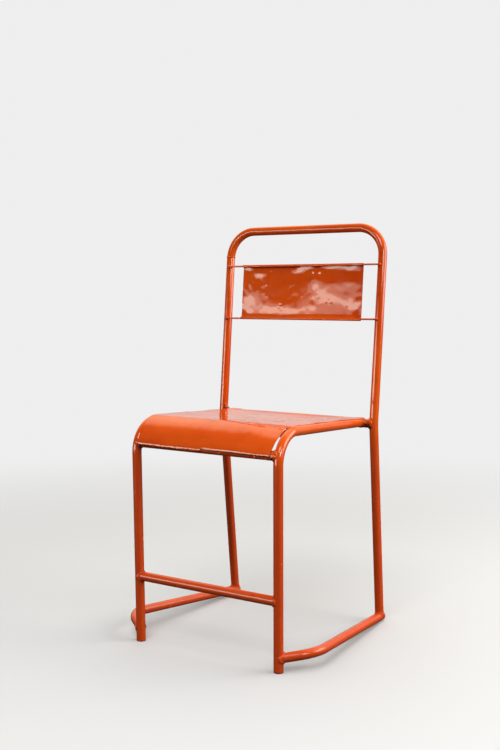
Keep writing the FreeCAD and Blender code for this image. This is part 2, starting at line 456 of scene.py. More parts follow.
@dataclass(frozen=True)
class Enamel:
    """Thick glossy enamel over steel, laid on by hand.

    The gloss is the least roughness and the haze what clouds add to it. Peel and wave are the
    heights of its small and slow bumps in millimetres. Chips is how much of it has come off.
    Dark spots fade from their core outwards, with edges as ragged as raggedness says; they are
    dirt in the joints and painted shade in the joints and in gaps. Lower down the colour turns
    darker and redder as painted shade, and the paint grows rougher with dust.
    """

    name: str
    fresh: Colour = (231, 91, 20)
    deep: Colour = (216, 74, 12)
    # The painted shade colour that the lower tubes turn to, darker and redder than the rest.
    low: Colour = (212, 68, 10)
    chip: Colour = (70, 30, 22)
    gloss: float = 0.05
    haze: float = 0.08
    peel: float = 0.04
    wave: float = 0.12
    chips: float = 0.0
    # The colour of the dark spots, and the spots: dirt in the joints, and painted shade in joints and
    # gaps.
    dirt_and_shade_colour: Colour = (84, 14, 6)
    dark_spots: tuple[DarkSpot, ...] = ()
    raggedness: float = 0.9
    core: float = 0.55
    # Heights in millimetres between which the painted shade of the lower parts fades out upwards, how
    # much of the shade colour it gives, and how much rougher dust makes them.
    shade_full_below: float = 320.0
    shade_gone_above: float = 450.0
    low_shade_share: float = 0.75
    low_rough: float = 0.16
    streak_share: float = 0.5
    streak_dark: float = 0.82
    chip_start: float = 0.74
    chip_end: float = 0.77
    chip_rough: float = 0.4
    chip_depth: float = 0.15
    dirt_rough: float = 0.35

    def dirt_and_shade_mask(self, recipe: Recipe) -> Signal | float:
        """How dark each point is painted, for dirt and for painted shade.

        Args:
            recipe: The material that it belongs to.

        Returns:
            A share from 0 to 1, the largest of what the dark spots give.
        """
        ragged = recipe.noise(260.0, 3.0) - 0.5
        total: Signal | float = 0.0
        for dark_spot in self.dark_spots:
            middle = (dark_spot.x * MM, dark_spot.y * MM, dark_spot.z * MM)
            inputs = {0: recipe.place, 1: middle}
            away = recipe.node("ShaderNodeVectorMath", {"operation": "DISTANCE"}, inputs, "Value")
            away = away + ragged * (dark_spot.reach * self.raggedness * MM)
            fade = away.between(dark_spot.reach * self.core * MM, dark_spot.reach * MM)
            total = fade.maths("MAXIMUM", total, (1.0 - fade) * dark_spot.share)
        return total

    def make(self) -> bpy.types.Material:
        """Makes the enamel's material.

        Returns:
            The material.
        """
        recipe = Recipe(self.name)
        cloud = recipe.noise(9.0, 3.0)
        streak = recipe.noise(38.0, 3.0, 0.6)
        grain = recipe.noise(700.0, 2.0)
        coat = recipe.mix(cloud.between(0.35, 0.68), tint(self.fresh), tint(self.deep))
        # Painted shade: lower down the colour turns darker and redder, as if the lower tubes lay in
        # shade; the same mask makes them rougher, as dust does.
        height = recipe.axis(recipe.place, "Z")
        low_shade_and_dust = 1.0 - height.between(self.shade_full_below * MM, self.shade_gone_above * MM)
        coat = recipe.mix(low_shade_and_dust * self.low_shade_share, coat, tint(self.low))
        dark = tuple(part * self.streak_dark for part in self.deep)
        coat = recipe.mix(streak.between(0.55, 0.85) * self.streak_share, coat, tint(dark))
        flaws = recipe.noise(160.0, 4.0, 0.7)
        speck = flaws.between(self.chip_start - self.chips, self.chip_end - self.chips)
        coat = recipe.mix(speck, coat, tint(self.chip))
        # Dark spots painted into the colour: dirt in the joints, and painted shade in the joints and in
        # the gap beside the seat's roll.
        dirt_and_shade_mask = self.dirt_and_shade_mask(recipe)
        coat = recipe.mix(dirt_and_shade_mask, coat, tint(self.dirt_and_shade_colour))
        rough = self.gloss + self.haze * recipe.noise(24.0, 4.0).between(0.4, 0.75)
        rough = rough + speck * self.chip_rough + dirt_and_shade_mask * self.dirt_rough + low_shade_and_dust * self.low_rough
        relief = recipe.noise(45.0, 1.0) * self.wave + grain * self.peel - speck * self.chip_depth
        return recipe.finish(
            Base_Color=coat,
            Roughness=rough,
            Normal=recipe.bump(relief, 1.0 * MM),
            IOR=1.5,
        )


@dataclass(frozen=True)
class Plastic:
    """Dark moulded plastic, scuffed by the floor."""

    name: str
    body: Colour = (26, 25, 25)
    scuff: Colour = (70, 68, 66)
    matt: float = 0.5
    scuffed_matt: float = 0.25
    scratched: float = 0.35
    worn_low: float = 0.5

    def make(self) -> bpy.types.Material:
        """Makes the plastic's material.

        Returns:
            The material.
        """
        recipe = Recipe(self.name)
        scratches = recipe.noise(420.0, 5.0, 0.75).between(0.55, 0.72)
        low = 1.0 - recipe.axis(recipe.place, "Z").between(0.2 * MM, 1.6 * MM)
        worn = scratches * (self.scratched + self.worn_low * low)
        return recipe.finish(
            Base_Color=recipe.mix(worn, tint(self.body), tint(self.scuff)),
            Roughness=self.matt + self.scuffed_matt * worn,
            Normal=recipe.bump(recipe.noise(900.0, 3.0), 0.1 * MM),
            IOR=1.47,
        )


@dataclass
class Frame:
    """The bent tubes, rods, plugs and feet, whose solids are right as they are."""

    nodes: dict[str, bpy.types.Object]
    tubes: tuple[str, ...] = (
        "back_hoop",
        "side_frame_left",
        "side_frame_right",
        "front_seat_rail",
        "rear_seat_rail",
        "front_stretcher",
        "floor_rail_left",
        "floor_rail_right",
        "rail_end_plug_left",
        "rail_end_plug_right",
        "backrest_rod_upper",
        "backrest_rod_lower",
    )
    feet: tuple[str, ...] = ("foot_plug_left", "foot_plug_right")

    def paint(self, enamel: bpy.types.Material, plastic: bpy.types.Material) -> None:
        """Paints the tubes and gives the feet their plastic.

        Args:
            enamel: The tubes' enamel.
            plastic: The feet's plastic.
        """
        for names, material in ((self.tubes, enamel), (self.feet, plastic)):
            for name in names:
                self.nodes[name].material_slots[0].material = material
                log.info("painted %s", name)


@dataclass
class SeatSheet:
    """The seat: sheet steel rolled down over the front and curled over the rear tube.

    Lengths are in millimetres. On the sheet, a place is told by its distance back from
    the top of the front roll, and on the roll by its angle, with 0 facing the rear.
    Stations by x are those of the lip and of the rails under the sheet.
    """

    bend_y: float = -133.88
    bend_z: float = 393.68
    bend_r: float = 70.2
    top_angle: float = 87.405
    lip_angle: float = 165.6
    lip_turn: float = 5.4
    rear_y: float = 153.75
    rear_z: float = 439.2
    curl_r: float = 11.7
    rear_sink: float = 1.4
    sink_run: tuple[float, float] = (200.0, 284.0)
    calm_run: float = 30.0
    free_width: tuple[float, float] = (140.0, 157.0)
    corner_run: tuple[float, float] = (60.0, 150.0)
    turn_run: tuple[float, float] = (4.5, 0.6)
    rise_waver: float = 0.35
    swell_waver: float = 0.3
    curl: float = 95.0
    left: float = -172.0
    right: float = 167.0
    flat_length: float = 285.27
    thickness: float = 1.2
    edge_round: float = 0.25
    edge_cuts: tuple[float, ...] = (0.6, 1.2, 1.8, 3.2, 4.0)
    tear_x: float = -2.0
    tear_half: float = 0.5
    tear_z: float = 413.4
    dent_at: tuple[float, float, float] = (70.4, -142.9, 463.9)
    lump_from_dent: tuple[float, float, float] = (-4.5, 2.0, 0.0)
    columns: int = 136
    rows: int = 112
    roll_steps: int = 34
    lip_steps: int = 7
    curl_steps: int = 10
    left_edge: Stations = ((0.0, -171.0), (60.0, -169.6), (300.0, -167.2))
    left_roll: Stations = (
        (80.0, -171.0),
        (90.0, -170.6),
        (106.0, -167.7),
        (121.0, -163.2),
        (136.0, -160.0),
        (150.0, -158.6),
        (166.0, -158.8),
    )
    right_flat: Stations = ((0.0, 166.2), (120.0, 167.4), (285.0, 171.8))
    rail_x: Stations = ((0.0, 168.7), (285.0, 165.0))
    rail_r: float = 9.5
    right_edge: Stations = (
        (87.0, 166.2),
        (96.0, 164.8),
        (98.5, 163.8),
        (101.5, 159.2),
        (106.0, 159.2),
        (122.0, 159.4),
        (131.0, 157.9),
        (140.0, 156.8),
        (152.0, 155.6),
        (159.0, 154.4),
        (166.0, 152.8),
    )
    right_sink: Stations = (
        (97.0, 0.0),
        (102.0, 2.6),
        (112.0, 3.4),
        (128.0, 3.0),
        (145.0, 1.8),
        (158.0, 0.5),
        (163.0, 0.0),
    )
    turned_edge: Stations = (
        (97.0, 0.0),
        (102.0, 5.0),
        (112.0, 7.0),
        (120.0, 7.0),
        (127.0, 0.0),
    )
    dish: Stations = (
        (-30.0, 0.0),
        (0.0, 0.3),
        (60.0, 1.6),
        (140.0, 3.2),
        (220.0, 4.4),
        (262.0, 3.2),
        (279.0, 0.7),
        (285.0, 0.0),
    )
    lip_rise: Stations = (
        (-170.0, 0.6),
        (-128.0, -0.1),
        (-60.0, -0.7),
        (-2.6, -0.9),
        (-1.4, 3.6),
        (25.0, 3.1),
        (90.0, 2.3),
        (151.0, 1.9),
    )
    lip_swell: Stations = (
        (-170.0, 0.8),
        (-120.0, 1.2),
        (-75.0, 0.9),
        (-40.0, 1.2),
        (-4.0, 1.6),
        (0.0, 0.7),
        (30.0, 1.1),
        (80.0, 1.3),
        (120.0, 0.9),
        (151.0, 1.2),
    )
    lip_profile: Stations = (
        (0.0, 0.55),
        (1.2, 0.72),
        (2.6, 1.0),
        (3.4, 1.04),
        (8.0, 0.85),
        (20.0, 0.0),
    )

    def build(self, material: bpy.types.Material) -> bpy.types.Object:
        """Rolls, dishes and trims the sheet.

        Args:
            material: The sheet's enamel.

        Returns:
            The finished piece.
        """
        piece = self.blank()
        self.roll_front(piece)
        self.curl_rear(piece)
        self.tear(piece)
        Bench.reshape(piece, self.hammered)
        Bench.modify(piece, "SOLIDIFY", thickness=self.thickness * MM, offset=0.0)
        Bench.modify(piece, "BEVEL", width=self.edge_round * MM, segments=2, limit_method="ANGLE")
        Bench.round_off(piece)
        Bench.coat(piece, material, Slot.SHEET)
        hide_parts("seat_panel")
        return piece

    def on_roll(self, angle: float, radius: float) -> Vector:
        """A point of the front roll in the middle of the chair.

        Args:
            angle: Its angle on the roll.
            radius: Its distance from the roll's axis, in millimetres.

        Returns:
            The point, in millimetres.
        """
        turn = math.radians(angle)
        y = self.bend_y + radius * math.cos(turn)
        z = self.bend_z + radius * math.sin(turn)
        return Vector((0, y, z))

    def blank(self) -> bpy.types.Object:
        """Cuts the seat's flat top, with finer strips at its right edge.

        Returns:
            The flat, as a grid at its size and place.
        """
        slope = math.radians(90.0 - self.top_angle)
        back = Vector((0, math.cos(slope), -math.sin(slope)))
        middle = self.on_roll(self.top_angle, self.bend_r) + back * (self.flat_length / 2)
        middle.x = (self.left + self.right) / 2
        Bench.clear()
        bpy.ops.mesh.primitive_grid_add(
            x_subdivisions=self.columns,
            y_subdivisions=self.rows,
            size=1.0,
            location=middle * MM,
            rotation=(-slope, 0, 0),
        )
        piece = Bench.adopt("seat_sheet")
        piece.scale = ((self.right - self.left) * MM, self.flat_length * MM, 1)
        Bench.settle(piece)
        for inward in self.edge_cuts:
            Bench.all_of(piece)
            bpy.ops.mesh.bisect(plane_co=((self.right - inward) * MM, 0, 0), plane_no=(1, 0, 0))
        Bench.clear()
        return piece

    def spin_edge(
        self, piece: bpy.types.Object, edge: Vector, axis: tuple[float, float], angle: float, steps: int
    ) -> None:
        """Spins one edge of the sheet round an axis that runs from side to side.

        Args:
            piece: The sheet.
            edge: A point of the edge, in millimetres.
            axis: The axis's y and z, in millimetres.
            angle: The turn in degrees, with down over the front below 0.
            steps: How many strips it makes.
        """
        Bench.pick(
            piece,
            lambda place: abs(place.y / MM - edge.y) < NEAR and abs(place.z / MM - edge.z) < NEAR,
        )
        bpy.ops.mesh.spin(
            steps=steps,
            angle=math.radians(angle),
            center=(0, axis[0] * MM, axis[1] * MM),
            axis=(1, 0, 0),
        )
        Bench.clear()

    def roll_front(self, piece: bpy.types.Object) -> None:
        """Spins the front edge down round the bend, with finer strips at the lip.

        Args:
            piece: The sheet.
        """
        axis = (self.bend_y, self.bend_z)
        start = self.on_roll(self.top_angle, self.bend_r)
        knee_angle = self.lip_angle - self.lip_turn
        knee = self.on_roll(knee_angle, self.bend_r)
        self.spin_edge(piece, start, axis, self.top_angle - knee_angle, self.roll_steps)
        self.spin_edge(piece, knee, axis, -self.lip_turn, self.lip_steps)

    def curl_rear(self, piece: bpy.types.Object) -> None:
        """Spins the rear edge down over the rear tube.

        Args:
            piece: The sheet.
        """
        turn = math.radians(self.top_angle)
        edge = Vector((0, self.rear_y, self.rear_z))
        edge += Vector((0, math.cos(turn), math.sin(turn))) * self.curl_r
        self.spin_edge(piece, edge, (self.rear_y, self.rear_z), self.curl, self.curl_steps)

    def tear(self, piece: bpy.types.Object) -> None:
        """Splits the lip upwards a little, left of its middle.

        Args:
            piece: The sheet.
        """
        for side in (-self.tear_half, self.tear_half):
            Bench.pick(piece, self.near_tear)
            bpy.ops.mesh.bisect(plane_co=((self.tear_x + side) * MM, 0, 0), plane_no=(1, 0, 0))
        Bench.pick(piece, self.in_tear)
        bpy.ops.mesh.select_mode(type="FACE")
        bpy.ops.mesh.delete(type="FACE")
        Bench.clear()

    def near_tear(self, place: Vector) -> bool:
        """Whether a point of the smooth roll is near the lip's split."""
        spot = place / MM
        return spot.z < 423.0 and spot.y < -190.0 and abs(spot.x - self.tear_x) < 6.0

    def in_tear(self, place: Vector) -> bool:
        """Whether a point of the smooth roll is in the lip's split or on its sides."""
        beside = abs(place.x / MM - self.tear_x)
        return self.near_tear(place) and beside < 1.1 * self.tear_half and place.z / MM < self.tear_z

    def hammered(self, place: Vector) -> Vector:
        """Where a point of the smooth roll lies on the hand-made sheet.

        Args:
            place: The point on the smooth roll, in metres.

        Returns:
            Its place on the finished sheet, in metres.
        """
        spot = place / MM
        across = spot.x / self.right
        if spot.y > self.rear_y - 1.0:
            inner = Vector((0, self.rear_y, self.rear_z))
            out = Vector((0, spot.y, spot.z)) - inner
            tight = 1.0 - self.rear_sink * self.off_tubes(spot.x) / self.curl_r
            curled = inner + out * tight
            curled.x = spot.x
            return self.widened(curled, ON_FLAT, PAST_REAR) * MM
        start = self.on_roll(self.top_angle, self.bend_r)
        if spot.y > start.y:
            behind = spot.y - start.y
            sunk = through(self.dish, behind) * max(0.0, 1.0 - across * across)
            sunk += self.rear_sink * smooth(behind, *self.sink_run) * self.off_tubes(spot.x)
            quiet = smooth(self.flat_length - behind, 0.0, self.calm_run)
            spot.z -= sunk + quiet * (self.ripple(spot) + self.dents(spot))
            return self.widened(spot, ON_FLAT, behind) * MM
        angle = math.degrees(math.atan2(spot.z - self.bend_z, spot.y - self.bend_y))
        return self.rolled(spot, angle) * MM

    def off_tubes(self, x: float) -> float:
        """1 where the sheet hangs free between the side tubes, and 0 over them."""
        return 1.0 - smooth(abs(x), *self.free_width)

    def rolled(self, spot: Vector, angle: float) -> Vector:
        """Where a point of the front roll lies on the hand-made sheet.

        Args:
            spot: The point, in millimetres.
            angle: Its angle on the roll.

        Returns:
            Its place, in millimetres.
        """
        down = (angle - self.top_angle) / (self.lip_angle - self.top_angle)
        rise = through(self.lip_rise, spot.x) + self.rise_waver * waver(spot.x, 9.0, 3.0)
        angle -= math.degrees(rise / self.bend_r) * smooth(down, 0.5, 1.0)
        spot = self.widened(spot, angle, 0.0)
        right = through(self.right_edge, angle)
        sunk = smooth(spot.x, *self.corner_run) * through(self.right_sink, angle)
        start, end = (right - inward for inward in self.turn_run)
        sunk += smooth(spot.x, start, end) * through(self.turned_edge, angle)
        sunk += (self.ripple(spot) + self.dents(spot)) * smooth(1.0 - down, 0.0, 0.15)
        to_lip = math.radians(self.lip_angle - self.top_angle) * self.bend_r * (1.0 - down)
        swell = through(self.lip_swell, spot.x) + self.swell_waver * waver(spot.x, 7.0, 8.0)
        radius = self.bend_r - sunk + swell * through(self.lip_profile, to_lip)
        lies = self.on_roll(angle, radius)
        lies.x = spot.x
        return lies

    def widened(self, spot: Vector, angle: float, behind: float) -> Vector:
        """Moves a point sideways so that the edges lie right, and bends it over the side rail.

        Args:
            spot: The point, in millimetres. It is changed.
            angle: Its angle on the roll, or less than the roll's first one on the flat.
            behind: Its distance back from the roll.

        Returns:
            The point.
        """
        share = (spot.x - self.left) / (self.right - self.left)
        on_flat = angle < self.top_angle
        left = through(self.left_edge, behind) if on_flat else through(self.left_roll, angle)
        right = through(self.right_flat, behind) if on_flat else through(self.right_edge, angle)
        spot.x = left + share * (right - left)
        if on_flat:
            over = max(0.0, spot.x - through(self.rail_x, behind))
            spot.z -= self.rail_r - math.sqrt(self.rail_r**2 - over**2)
        return spot

    @staticmethod
    def ripple(spot: Vector) -> float:
        """How far the beaten sheet is sunk by its waves.

        Args:
            spot: A point of the sheet, in millimetres.

        Returns:
            The depth in millimetres, below 0 where the sheet is raised.
        """
        slow = noise.noise(Vector((spot.x / 85.0, spot.y / 60.0, spot.z / 60.0 + 2.0)))
        quick = noise.noise(Vector((spot.x / 30.0, spot.y / 24.0, spot.z / 24.0 + 7.0)))
        small = noise.noise(Vector((spot.x / 13.0, spot.y / 20.0, 1.0)))
        return 0.9 * slow + 0.3 * quick + 0.3 * small

    def dents(self, spot: Vector) -> float:
        """How far the dent and the lump beside it sink the sheet.

        Args:
            spot: A point of the sheet, in millimetres.

        Returns:
            The depth in millimetres, below 0 on the lump.
        """
        dent = Vector(self.dent_at)
        lump = dent + Vector(self.lump_from_dent)
        return 1.0 * hill(spot, dent, 3.4) - 0.9 * hill(spot, lump, 3.0)


@dataclass(frozen=True)
class Swell:
    """A stretch of the back sheet that stands more upright than the rest.

    Millimetres: x and z from the middle of the lower rod, and how far it spreads each way.
    """

    x: float
    z: float
    wide: float
    tall: float
    tilt: float = 0.042

    def bulge(self, x: float, z: float) -> float:
        """How far back it pushes the sheet: most below it, and not at all above it.

        Args:
            x: The place's x, in millimetres.
            z: Its height over the lower rod.

        Returns:
            The push in millimetres.
        """
        beside = math.exp(-(((x - self.x) / self.wide) ** 2))
        left_to_climb = (1.0 - math.erf((z - self.z) / self.tall)) * self.tall * math.sqrt(math.pi) / 2
        return self.tilt * left_to_climb * beside


@dataclass(frozen=True)
class Dent:
    """A small round dent in the back sheet, or a lump where its depth is below 0.

    Millimetres: x and z from the middle of the lower rod, its reach and its depth.
    """

    x: float
    z: float
    reach: float
    depth: float

    def sink(self, x: float, z: float) -> float:
        """How far back it pushes the sheet at a place."""
        return self.depth * math.exp(-((x - self.x) ** 2 + (z - self.z) ** 2) / self.reach**2)


@dataclass
class BackSheet:
    """The back: sheet steel behind two rods, its top and bottom rolled forward round them.

    Lengths are in millimetres. Warp is how far the edges of the swells stray from round.
    """

    left: float = -151.0
    right: float = 155.0
    hem_r: float = 2.6
    wrap: float = 235.0
    thickness: float = 1.0
    columns: int = 196
    rows: int = 76
    hem_steps: int = 14
    warp_x: float = 4.0
    warp_z: float = 2.5
    swells: tuple[Swell, ...] = (
        Swell(-128.0, 42.0, 20.0, 15.0),
        Swell(-140.0, 23.0, 14.0, 14.0),
        Swell(-68.0, 19.0, 42.0, 7.0, 0.052),
        Swell(-17.0, 16.0, 14.0, 7.0, 0.052),
        Swell(-38.0, 40.0, 36.0, 12.0, -0.014),
        Swell(-106.6, 95.5, 15.0, 6.5, 0.07),
        Swell(-139.0, 111.0, 10.0, 4.0, 0.09),
        Swell(-5.0, 105.0, 16.0, 5.0, 0.08),
        Swell(12.0, 112.0, 20.0, 3.5, 0.09),
        Swell(54.0, 58.5, 28.0, 18.0),
        Swell(36.0, 76.0, 14.0, 12.0, 0.035),
        Swell(115.0, 69.5, 38.0, 10.0),
        Swell(84.0, 41.0, 38.0, 13.0),
        Swell(130.0, 32.0, 18.0, 13.0),
        Swell(26.0, 21.0, 20.0, 6.5),
        Swell(85.0, 112.0, 32.0, 4.5, 0.08),
        Swell(130.0, 110.0, 22.0, 6.0, 0.08),
    )
    dents: tuple[Dent, ...] = (
        Dent(32.0, 98.3, 3.0, 0.55),
        Dent(48.0, 97.5, 3.4, 0.6),
        Dent(-49.0, 30.0, 2.2, 0.3),
        Dent(-52.0, 24.0, 1.8, 0.3),
        Dent(-44.0, 27.0, 1.6, -0.3),
        Dent(-46.0, 20.0, 2.0, 0.3),
        Dent(68.0, 38.0, 2.0, 0.3),
        Dent(74.0, 40.0, 1.6, -0.3),
        Dent(80.0, 37.0, 2.0, 0.3),
        Dent(-77.0, 107.0, 1.5, -0.3),
        Dent(-86.0, 50.0, 1.5, -0.3),
        Dent(-88.0, 75.0, 1.5, -0.3),
        Dent(-5.0, 112.0, 1.8, -0.3),
        Dent(44.0, 52.0, 1.5, -0.25),
        Dent(118.0, 30.0, 1.8, 0.3),
    )

    def build(self, material: bpy.types.Material) -> bpy.types.Object:
        """Makes the flat, rolls its hems and beats it wavy.

        Args:
            material: The sheet's enamel.

        Returns:
            The finished piece.
        """
        lower = self.rod_middle("backrest_rod_lower")
        upper = self.rod_middle("backrest_rod_upper")
        lean = math.atan2(upper.y - lower.y, upper.z - lower.z)
        behind = Vector((0, math.cos(lean), -math.sin(lean))) * self.hem_r * MM
        middle = (lower + upper) / 2 + behind
        middle.x = (self.left + self.right) / 2 * MM
        Bench.clear()
        bpy.ops.mesh.primitive_grid_add(
            x_subdivisions=self.columns,
            y_subdivisions=self.rows,
            size=1.0,
            location=middle,
            rotation=(math.pi / 2 - lean, 0, 0),
        )
        piece = Bench.adopt("back_sheet")
        piece.scale = ((self.right - self.left) * MM, (upper - lower).length, 1)
        Bench.settle(piece)
        self.roll_hem(piece, upper, max, -self.wrap)
        self.roll_hem(piece, lower, min, self.wrap)
        Bench.reshape(piece, lambda place: self.hammered(place, lower.z, upper.z))
        Bench.modify(piece, "SOLIDIFY", thickness=self.thickness * MM, offset=0.0)
        Bench.round_off(piece)
        Bench.coat(piece, material, Slot.SHEET)
        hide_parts("backrest_panel")
        return piece

    @staticmethod
    def rod_middle(node: str) -> Vector:
        """The middle of a rod's axis.

        Args:
            node: The rod's node.

        Returns:
            The point, in metres.
        """
        low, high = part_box(node)
        middle = (Vector(low) + Vector(high)) / 2
        middle.x = 0
        return middle

    def roll_hem(
        self, piece: bpy.types.Object, rod: Vector, edge: Callable[..., float], angle: float
    ) -> None:
        """Spins the top or bottom edge forward round its rod.

        Args:
            piece: The sheet.
            rod: A point of the rod's axis.
            edge: Picks the edge's height, as max or min.
            angle: The turn in degrees.
        """
        edge_z = edge(vertex.co.z for vertex in piece.data.vertices)
        Bench.pick(piece, lambda place: abs(place.z - edge_z) < NEAR * MM)
        bpy.ops.mesh.spin(steps=self.hem_steps, angle=math.radians(angle), center=rod, axis=(1, 0, 0))
        Bench.clear()

    def hammered(self, place: Vector, low: float, high: float) -> Vector:
        """Where a point of the even sheet lies on the wavy one.

        Args:
            place: The point on the even sheet.
            low: The lower rod's height.
            high: The upper rod's height.

        Returns:
            Its place on the finished sheet.
        """
        height = (high - low) / MM
        x, z = place.x / MM, (place.z - low) / MM
        inside = smooth(z, 0.5, 9.5) * smooth(height - z, 0.0, 3.0)
        ragged = noise.noise(Vector((x / 14.0, z / 14.0, 4.0)))
        wavy = noise.noise(Vector((x / 16.0, z / 16.0, 9.0)))
        warped_x, warped_z = x + self.warp_x * ragged, z + self.warp_z * wavy
        push = sum(swell.bulge(warped_x, warped_z) for swell in self.swells)
        push += sum(dent.sink(x + ragged, z + wavy) for dent in self.dents)
        place.y += push * inside * MM
        return place


@dataclass
class WeldBeads:
    """Lumpy weld metal, painted over, made from a weld node's own solids."""

    node: bpy.types.Object
    voxel: float = 0.7 * MM
    lump: float = 0.8 * MM
    lump_size: float = 5.0 * MM
    joined_within: float = 0.02 * MM

    def build(self, material: bpy.types.Material) -> bpy.types.Object:
        """Makes the beads.

        Args:
            material: The welds' enamel.

        Returns:
            The finished piece.
        """
        name = self.node.name
        piece = bpy.data.objects.new(name.replace("welds", "beads"), self.node.data.copy())
        bpy.context.scene.collection.objects.link(piece)
        Bench.all_of(piece)
        bpy.ops.mesh.remove_doubles(threshold=self.joined_within)
        Bench.clear()
        Bench.modify(piece, "REMESH", mode="VOXEL", voxel_size=self.voxel)
        texture = bpy.data.textures.new(piece.name, "CLOUDS")
        texture.noise_scale = self.lump_size
        Bench.modify(
            piece,
            "DISPLACE",
            texture=texture,
            texture_coords="LOCAL",
            strength=self.lump,
            mid_level=0.5,
        )
        Bench.modify(piece, "SMOOTH", factor=0.5, iterations=3)
        Bench.round_off(piece, NO_EDGE)
        Bench.coat(piece, material, Slot.WELD)
        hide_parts(name)
        return piece


def lumpy(place: Vector) -> Vector:
    """Moves a point of smooth weld metal a little, so that the metal is uneven.

    Args:
        place: The point, in metres.

    Returns:
        Where it goes, in metres.
    """
    spot = place / MM / LUMP_SIZE
    shift = [noise.noise(spot + Vector((0, 0, seed))) for seed in LUMP_SEEDS]
    return place + LUMP * MM * Vector(shift)


@dataclass(frozen=True)
class Drop:
    """A drop of weld metal or paint, in millimetres."""

    x: float
    y: float
    z: float
    size: float


@dataclass(frozen=True)
class Drops:
    """Drops that lie together, as one piece."""

    name: str
    drops: tuple[Drop, ...]
    stretch: float = 1.0
    voxel: float = 0.4 * MM

    def build(self, material: bpy.types.Material) -> bpy.types.Object:
        """Makes the drops and runs them together.

        Args:
            material: Their enamel.

        Returns:
            The finished piece.
        """
        Bench.clear()
        balls = []
        for drop in self.drops:
            place = Vector((drop.x, drop.y, drop.z)) * MM
            bpy.ops.mesh.primitive_ico_sphere_add(subdivisions=4, radius=drop.size * MM, location=place)
            ball = Bench.adopt(self.name)
            ball.scale = (1.0, 1.0, self.stretch)
            balls.append(ball)
        Bench.take(balls[0])
        for ball in balls[1:]:
            ball.select_set(True)
        if len(balls) > 1:
            bpy.ops.object.join()
        piece = Bench.adopt(self.name)
        Bench.settle(piece)
        Bench.reshape(piece, lumpy)
        Bench.modify(piece, "REMESH", mode="VOXEL", voxel_size=self.voxel)
        Bench.modify(piece, "SMOOTH", factor=0.5, iterations=3)
        Bench.round_off(piece, NO_EDGE)
        Bench.coat(piece, material, Slot.WELD)
        return piece


@dataclass(frozen=True)
class WeldRing:
    """The ring of weld metal where a tube was joined end to end."""

    middle: tuple[float, float, float] = (-194.2, 187.2, 798.4)
    lean: tuple[float, float] = (-5.2, 1.4)
    ring_r: float = 9.0
    bead_r: float = 1.5

    def build(self, material: bpy.types.Material) -> bpy.types.Object:
        """Makes the ring.

        Args:
            material: Its enamel.

        Returns:
            The finished piece.
        """
        Bench.clear()
        bpy.ops.mesh.primitive_torus_add(
            major_segments=72,
            minor_segments=12,
            major_radius=self.ring_r * MM,
            minor_radius=self.bead_r * MM,
            location=Vector(self.middle) * MM,
            rotation=(math.radians(self.lean[0]), math.radians(self.lean[1]), 0),
        )
        piece = Bench.adopt("upright_weld_ring")
        Bench.settle(piece)
        Bench.reshape(piece, lumpy)
        Bench.round_off(piece, NO_EDGE)
        Bench.coat(piece, material, Slot.WELD)
        return piece


@dataclass
class Lamp:
    """A soft light: a glowing rectangle that faces the chair."""

    name: str
    place: tuple[float, float, float]
    size: tuple[float, float]
    watts: float
    target: tuple[float, float, float] = (0.0, 0.0, 0.45)
    colour: Colour = (255, 255, 255)
    only_gloss: bool = False

    def hang(self) -> None:
        """Adds the light to the scene."""
        light = bpy.data.lights.new(self.name, "AREA")
        light.shape = "RECTANGLE"
        light.size, light.size_y = self.size
        light.energy = self.watts
        light.color = tint(self.colour)[:3]
        lamp = bpy.data.objects.new(self.name, light)
        bpy.context.scene.collection.objects.link(lamp)
        lamp.visible_diffuse = not self.only_gloss
        lamp.location = self.place
        aim = Vector(self.target) - Vector(self.place)
        lamp.rotation_euler = aim.to_track_quat("-Z", "Y").to_euler()


